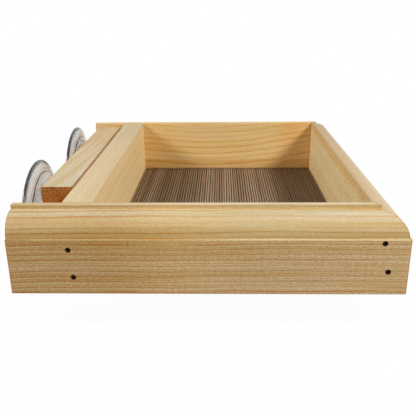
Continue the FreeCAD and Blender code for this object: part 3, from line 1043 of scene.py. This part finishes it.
@dataclass
class Nails:
    """Sunk nails of the rails and brads of the ledges, which keep their solids."""

    nodes: dict[str, bpy.types.Object]
    endings: tuple[str, ...] = ("_nails", "_brads")

    def dress(self) -> None:
        """Give all of them the same near-black steel, painted shade for the heads at the bottoms of the
        holes.
        """
        finish = NAIL.material()
        for name, solid in self.nodes.items():
            if name.endswith(self.endings):
                dress_solid(solid, finish)


@dataclass
class SuctionCup:
    """A clear cup: sealing lip, ring, dome and neck, with its axis along X and its rim on the pane."""

    name: str
    middle_y: float
    radius: float = 39.0
    seal_radius: float = 38.0
    lip_edge: float = 1.4
    lip_round: float = 0.45
    lip_steps: int = 6
    ring_radius: float = 31.0
    ring_height: float = 3.6
    ring_step: float = 0.6
    dome_height: float = 9.0
    dome_curve: float = 45.0
    dome_steps: int = 14
    neck_radius: float = 8.0
    neck_blend: float = 2.5
    neck_steps: int = 6
    neck_end: float = 21.1
    pilot_radius: float = 1.8
    pilot_bottom: float = 12.3
    hollow_depth: float = 6.0
    hollow_steps: int = 16
    round_steps: int = 96

    def build(self) -> bmesh.types.BMesh:
        """Turn the cup's half-section.

        Returns:
            The cup's mesh in millimetres, in its place.
        """
        hollow_curve = (self.seal_radius ** 2 + self.hollow_depth ** 2) / (2 * self.hollow_depth)
        lip_curve = ((self.lip_edge / 2) ** 2 + self.lip_round ** 2) / (2 * self.lip_round)
        lip_start = self.radius - self.lip_round
        neck_foot = self.neck_radius + self.neck_blend
        neck_start = self.dome_height + self.neck_blend
        turning = Turning(self.pilot_bottom, 0.0)
        turning.lines((self.pilot_bottom, self.pilot_radius), (self.neck_end, self.pilot_radius),
                      (self.neck_end, self.neck_radius), (neck_start, self.neck_radius))
        turning.arc(self.dome_height, neck_foot, self.neck_blend, -1, self.neck_steps)
        turning.arc(self.ring_height + self.ring_step, self.ring_radius, self.dome_curve, 1, self.dome_steps)
        turning.lines((self.ring_height, self.ring_radius), (self.lip_edge, lip_start))
        turning.arc(0.0, lip_start, lip_curve, 1, self.lip_steps)
        turning.lines((0.0, self.seal_radius))
        turning.arc(self.hollow_depth, 0.0, hollow_curve, -1, self.hollow_steps)
        cup = turning.spin(self.round_steps)
        bmesh.ops.translate(cup, verts=cup.verts, vec=(0.0, self.middle_y, 0.0))
        return cup

    def dress(self) -> bpy.types.Object:
        """Build the cup in clear vinyl."""
        finish = VinylFinish("vinyl_" + self.name, self.middle_y, self.radius, self.ring_radius).material()
        return settle(self.name + "_vinyl", self.build(), finish, "frame", [self.name])


@dataclass
class ScrewPair:
    """Two pan-head screws with cross recesses, their axes along X."""

    node: str
    spots: tuple[Point, ...]
    toward: float
    length: float
    head_radius: float = 3.75
    head_height: float = 2.4
    head_round: float = 1.2
    head_steps: int = 5
    radius: float = 1.75
    tip: float = 3.0
    tip_flat: float = 0.1
    round_steps: int = 32
    arm_half: float = 0.5
    arm_reach: float = 2.1
    recess: float = 1.3
    recess_taper: float = 0.7

    def _one(self) -> bmesh.types.BMesh:
        """Turn one screw with the top of its head at the origin, and press its recess.

        Returns:
            The screw's mesh, its point along +X.
        """
        turning = Turning(0.0, 0.0)
        turning.lines((0.0, self.head_radius - self.head_round))
        turning.arc(self.head_round, self.head_radius, self.head_round, 1, self.head_steps)
        turning.lines((self.head_height, self.head_radius), (self.head_height, self.radius),
                      (self.length - self.tip, self.radius), (self.length, self.tip_flat),
                      (self.length, 0.0))
        screw = turning.spin(self.round_steps)
        bmesh.ops.dissolve_faces(screw, faces=self._top(screw))
        for axis in (Vector((0.0, 1.0, 0.0)), Vector((0.0, 0.0, 1.0))):
            for place in (-self.arm_reach, -self.arm_half, self.arm_half, self.arm_reach):
                top = self._top(screw)
                edges = {edge for face in top for edge in face.edges}
                verts = {vert for face in top for vert in face.verts}
                bmesh.ops.bisect_plane(screw, geom=[*top, *edges, *verts], dist=TOUCH_MM / 10,
                                       plane_co=axis * place, plane_no=axis)
        cross = [face for face in self._top(screw) if self._in_cross(face)]
        pressed = bmesh.ops.extrude_face_region(screw, geom=cross)["geom"]
        bmesh.ops.delete(screw, geom=cross, context="FACES_ONLY")
        bottom = [item for item in pressed if isinstance(item, bmesh.types.BMVert)]
        bmesh.ops.translate(screw, verts=bottom, vec=(self.recess, 0.0, 0.0))
        bmesh.ops.scale(screw, verts=bottom, vec=(1.0, self.recess_taper, self.recess_taper))
        bmesh.ops.recalc_face_normals(screw, faces=screw.faces)
        return screw

    @staticmethod
    def _top(screw: bmesh.types.BMesh) -> list[bmesh.types.BMFace]:
        """Faces of the flat top of the head."""
        return [face for face in screw.faces if max(vert.co.x for vert in face.verts) < TOUCH_MM]

    def _in_cross(self, face: bmesh.types.BMFace) -> bool:
        """Whether a face of the head's top lies in the cross.

        Args:
            face: A face of the top.

        Returns:
            True inside either arm.
        """
        middle = face.calc_center_median()
        sizes = sorted((abs(middle.y), abs(middle.z)))
        return sizes[0] < self.arm_half and sizes[1] < self.arm_reach

    def dress(self, finish: bpy.types.Material) -> bpy.types.Object:
        """Build both screws in their places.

        Args:
            finish: Material of the screws.

        Returns:
            The piece with both screws.
        """
        single = self._one()
        bmesh.ops.scale(single, verts=single.verts, vec=(self.toward, self.toward, 1.0))
        template = bpy.data.meshes.new(self.node + "_template")
        single.to_mesh(template)
        single.free()
        pair = bmesh.new()
        for spot in self.spots:
            lay_out(pair, template, spot)
        bpy.data.meshes.remove(template)
        return settle(self.node + "_turned", pair, finish, "frame", [self.node])


@dataclass
class ScreenFloor:
    """Stiff wire screen that lies loose on the ledges: deep wires on top of close cross wires."""

    low: Vector
    high: Vector
    deep_wire: float = 0.9
    deep_width: float = 1.3
    deep_pitch: float = 2.0
    deep_sides: int = 10
    deep_cuts: int = 15
    deep_stray: float = 0.2
    deep_wander: float = 0.07
    deep_sharp: float = 60.0
    deep_dark: Colour = (0.18, 0.10, 0.043)
    deep_light: Colour = (0.46, 0.33, 0.225)
    cross_wire: float = 0.7
    cross_pitch: float = 0.8
    cross_sides: int = 6
    cross_sharp: float = 70.0
    # Painted shade: the cross wires take a darker copy of the wire's brown, for the shade under the deep
    # wires.
    cross_shaded_dark: Colour = (0.085, 0.05, 0.024)
    cross_shaded_light: Colour = (0.24, 0.155, 0.09)
    end_room: float = 0.1
    seed: int = 7

    def _places(self, axis: int, pitch: float, wire: float) -> list[float]:
        """Places of the wires that stand side by side along an axis.

        Args:
            axis: 0 for X, 1 for Y.
            pitch: Distance between wires.
            wire: Diameter of a wire.

        Returns:
            Places in millimetres, spread evenly about the middle.
        """
        span = self.high[axis] - self.low[axis] - 2 * self.deep_stray
        count = int((span - wire) // pitch) + 1
        first = (self.low[axis] + self.high[axis]) / 2 - pitch * (count - 1) / 2
        return [first + pitch * number for number in range(count)]

    def _wire(self, run: int, wire: float, width: float, sides: int, cuts: int) -> bpy.types.Mesh:
        """One straight wire across the screen, at zero on its other axes.

        Args:
            run: Axis that it runs along, 0 for X and 1 for Y.
            wire: Its height.
            width: Its width, more than its height where it is flattened.
            sides: Flats round it.
            cuts: Cuts along it.

        Returns:
            A mesh of the wire.
        """
        single = bmesh.new()
        way = Vector((1.0, 0.0, 0.0)) if run == 0 else Vector((0.0, 1.0, 0.0))
        facing = Vector((0.0, 0.0, 1.0)).rotation_difference(way).to_matrix().to_4x4()
        span = self.high[run] - self.low[run] - 2 * self.end_room
        middle = way * (self.high[run] + self.low[run]) / 2
        bmesh.ops.create_cone(single, cap_ends=True, segments=sides, radius1=wire / 2, radius2=wire / 2,
                              depth=span, matrix=Matrix.Translation(middle) @ facing)
        if cuts:
            lengthwise = [edge for edge in single.edges if edge.calc_length() > span / 2]
            bmesh.ops.subdivide_edges(single, edges=lengthwise, cuts=cuts)
        flatter = (1.0, width / wire, 1.0) if run == 0 else (width / wire, 1.0, 1.0)
        bmesh.ops.scale(single, verts=single.verts, vec=flatter)
        made = bpy.data.meshes.new("wire")
        single.to_mesh(made)
        single.free()
        return made

    def build_deep(self) -> bmesh.types.BMesh:
        """Wires that run from front to back, flattened and a little uneven.

        Returns:
            Their mesh in millimetres, in its place.
        """
        dice = random.Random(self.seed)
        template = self._wire(1, self.deep_wire, self.deep_width, self.deep_sides, self.deep_cuts)
        wires = bmesh.new()
        for place in self._places(0, self.deep_pitch, self.deep_wire):
            shift = place + dice.uniform(-self.deep_stray, self.deep_stray)
            fresh = lay_out(wires, template, (shift, 0.0, self.high.z - self.deep_wire / 2))
            for station in sorted({round(vert.co.y, 3) for vert in fresh}):
                ring = [vert for vert in fresh if abs(vert.co.y - station) < 0.01]
                bend = dice.uniform(-self.deep_wander, self.deep_wander)
                bmesh.ops.translate(wires, verts=ring, vec=(bend, 0.0, 0.0))
        bpy.data.meshes.remove(template)
        return wires

    def build_cross(self) -> bmesh.types.BMesh:
        """Straight wires from the window side to the outer side, under the deep ones.

        Returns:
            Their mesh in millimetres, in its place.
        """
        template = self._wire(0, self.cross_wire, self.cross_wire, self.cross_sides, 0)
        wires = bmesh.new()
        for place in self._places(1, self.cross_pitch, self.cross_wire):
            lay_out(wires, template, (0.0, place, self.low.z + self.cross_wire / 2))
        bpy.data.meshes.remove(template)
        return wires

    def dress(self) -> None:
        """Build both layers in brown wire, the cross wires in a darker brown as painted shade; the deep
        wires stand for the solid.
        """
        first = self._places(0, self.deep_pitch, self.deep_wire)[0]
        deep = ScreenFinish("wire_brown_deep", self.deep_pitch, first, self.deep_dark, self.deep_light)
        # Painted shade: the darker copy of the brown for the cross wires.
        cross = ScreenFinish("wire_brown_cross_shaded", self.deep_pitch, first, self.cross_shaded_dark, self.cross_shaded_light)
        settle("screen_wires_deep", self.build_deep(), deep.material(), "floor",
               ["floor_screen"], self.deep_sharp)
        settle("screen_wires_cross", self.build_cross(), cross.material(), "floor", (),
               self.cross_sharp)


@dataclass(frozen=True)
class Lamp:
    """A square soft lamp, in metres and watts."""

    name: str
    place: Point
    watts: float
    size: float


@dataclass
class Studio:
    """Camera, lamps, pale floor and white surround, in metres and degrees."""

    camera_place: Point = (0.12256, -0.40605, 0.13572)
    yaw: float = -1.490
    pitch: float = 20.058
    roll: float = -0.546
    lens: float = 48.543
    sensor: float = 36.0
    near: float = 0.01
    target: Point = (0.11, 0.0, 0.01)
    lamps: tuple[Lamp, ...] = (Lamp("left_box", (-0.48, -0.22, 0.44), 3.8, 0.18),
                               Lamp("right_box", (0.70, -0.36, 0.58), 6.8, 0.19))
    ambient: float = 0.05
    floor_height: float = -0.0396
    floor_half: float = 6.0
    floor_dark: Colour = (0.43, 0.43, 0.43)
    floor_light: Colour = (0.47, 0.47, 0.47)
    floor_seen: Colour = (0.88, 0.88, 0.88)
    floor_roughness: float = 0.9
    paper_scale: float = 0.2
    white_share: float = 0.97
    shadow_reach_mm: float = 500.0

    def build(self) -> None:
        """Set the whole stage."""
        self._camera()
        self._floor()
        self._surround()
        for lamp in self.lamps:
            self._lamp(lamp)

    def _camera(self) -> None:
        """Camera at the photograph's viewing angle."""
        data = bpy.data.cameras.new("camera")
        data.lens = self.lens
        data.sensor_width = self.sensor
        data.clip_start = self.near
        yaw, pitch, roll = (math.radians(angle) for angle in (self.yaw, self.pitch, self.roll))
        ahead = Vector((math.sin(yaw) * math.cos(pitch), math.cos(yaw) * math.cos(pitch), -math.sin(pitch)))
        level = Vector((math.cos(yaw), -math.sin(yaw), 0.0))
        above = level.cross(ahead)
        right = level * math.cos(roll) + above * math.sin(roll)
        up = above * math.cos(roll) - level * math.sin(roll)
        turn = Matrix((right, up, -ahead)).transposed().to_4x4()
        camera = bpy.data.objects.new("camera", data)
        camera.matrix_world = Matrix.Translation(Vector(self.camera_place)) @ turn
        bpy.context.scene.collection.objects.link(camera)
        bpy.context.scene.camera = camera

    def _lamp(self, lamp: Lamp) -> None:
        """Hang one lamp so that it faces the tray.

        Args:
            lamp: Its place, power and size.
        """
        data = bpy.data.lights.new(lamp.name, "AREA")
        data.energy = lamp.watts
        data.size = lamp.size
        place = Vector(lamp.place)
        facing = (Vector(self.target) - place).to_track_quat("-Z", "Y").to_matrix().to_4x4()
        made = bpy.data.objects.new(lamp.name, data)
        made.matrix_world = Matrix.Translation(place) @ facing
        bpy.context.scene.collection.objects.link(made)

    def _floor(self) -> None:
        """Pale floor that keeps a faint shadow."""
        mesh = bmesh.new()
        bmesh.ops.create_grid(mesh, x_segments=1, y_segments=1, size=self.floor_half)
        bmesh.ops.translate(mesh, verts=mesh.verts, vec=(0.0, 0.0, self.floor_height))
        data = bpy.data.meshes.new("stage_floor")
        mesh.to_mesh(data)
        mesh.free()
        made, graph = new_material("stage_white")
        x, y, z = graph.place()
        paper = graph.noise(x * self.paper_scale, y * self.paper_scale, z)
        seen = self._seen_directly(graph)
        grey = graph.mix(paper, self.floor_dark, self.floor_light)
        pale = graph.mix(seen, grey, self.floor_seen)
        lit = graph.principled(Base_Color=pale, Roughness=self.floor_roughness)
        glow = graph.node("ShaderNodeEmission", {}, {"Color": WHITE, "Strength": 1.0})
        away = ((x * x + y * y) ** 0.5).rise(self.shadow_reach_mm / 2, self.shadow_reach_mm)
        share = away * (1.0 - self.white_share) + self.white_share
        mixed = graph.node("ShaderNodeMixShader", {}, {0: seen * share, 1: lit, 2: glow})
        graph.end(mixed)
        data.materials.append(made)
        floor = bpy.data.objects.new("stage_floor", data)
        bpy.context.scene.collection.objects.link(floor)

    def _surround(self) -> None:
        """White world for what is seen, and softer light for the rest."""
        world = bpy.data.worlds.new("surround")
        world.use_nodes = True
        bpy.context.scene.world = world
        graph = Graph(world.node_tree)
        strength = self._seen_directly(graph) * (1.0 - self.ambient) + self.ambient
        light = graph.node("ShaderNodeBackground", {}, {"Color": WHITE, "Strength": strength})
        graph.end(light, "ShaderNodeOutputWorld")

    @staticmethod
    def _seen_directly(graph: Graph) -> Sock:
        """1 for rays from the camera, and for what gloss and clear vinyl show.

        Args:
            graph: Graph of the floor or of the world.

        Returns:
            The mask as a socket.
        """
        path = graph.node("ShaderNodeLightPath", {}, {}).socket.node
        rays = [Sock(graph, path.outputs[name])
                for name in ("Is Camera Ray", "Is Glossy Ray", "Is Transmission Ray")]
        return (rays[0] + rays[1] + rays[2]).rise(0.0, 1.0)


def main() -> None:
    """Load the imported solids, build and dress each sub-assembly, and set the stage."""
    logging.basicConfig(level=logging.INFO, format="%(name)s %(message)s")
    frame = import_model()
    nodes = frame["nodes"]
    TimberFrame(nodes).dress()
    for name, middle_y in (("suction_cup_front", -CUP_OFFSET), ("suction_cup_back", CUP_OFFSET)):
        SuctionCup(name, middle_y).dress()
    zinc = ZINC.material()
    ScrewPair("strip_screws", STRIP_SCREW_SPOTS, 1.0, STRIP_SCREW_LENGTH).dress(zinc)
    ScrewPair("cup_screws", CUP_SCREW_SPOTS, -1.0, CUP_SCREW_LENGTH).dress(zinc)
    low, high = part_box("floor_screen")
    ScreenFloor(low / MM, high / MM).dress()
    Nails(nodes).dress()
    Studio().build()
    bpy.context.scene.view_settings.view_transform = "Standard"


if __name__ == "__main__":
    main()
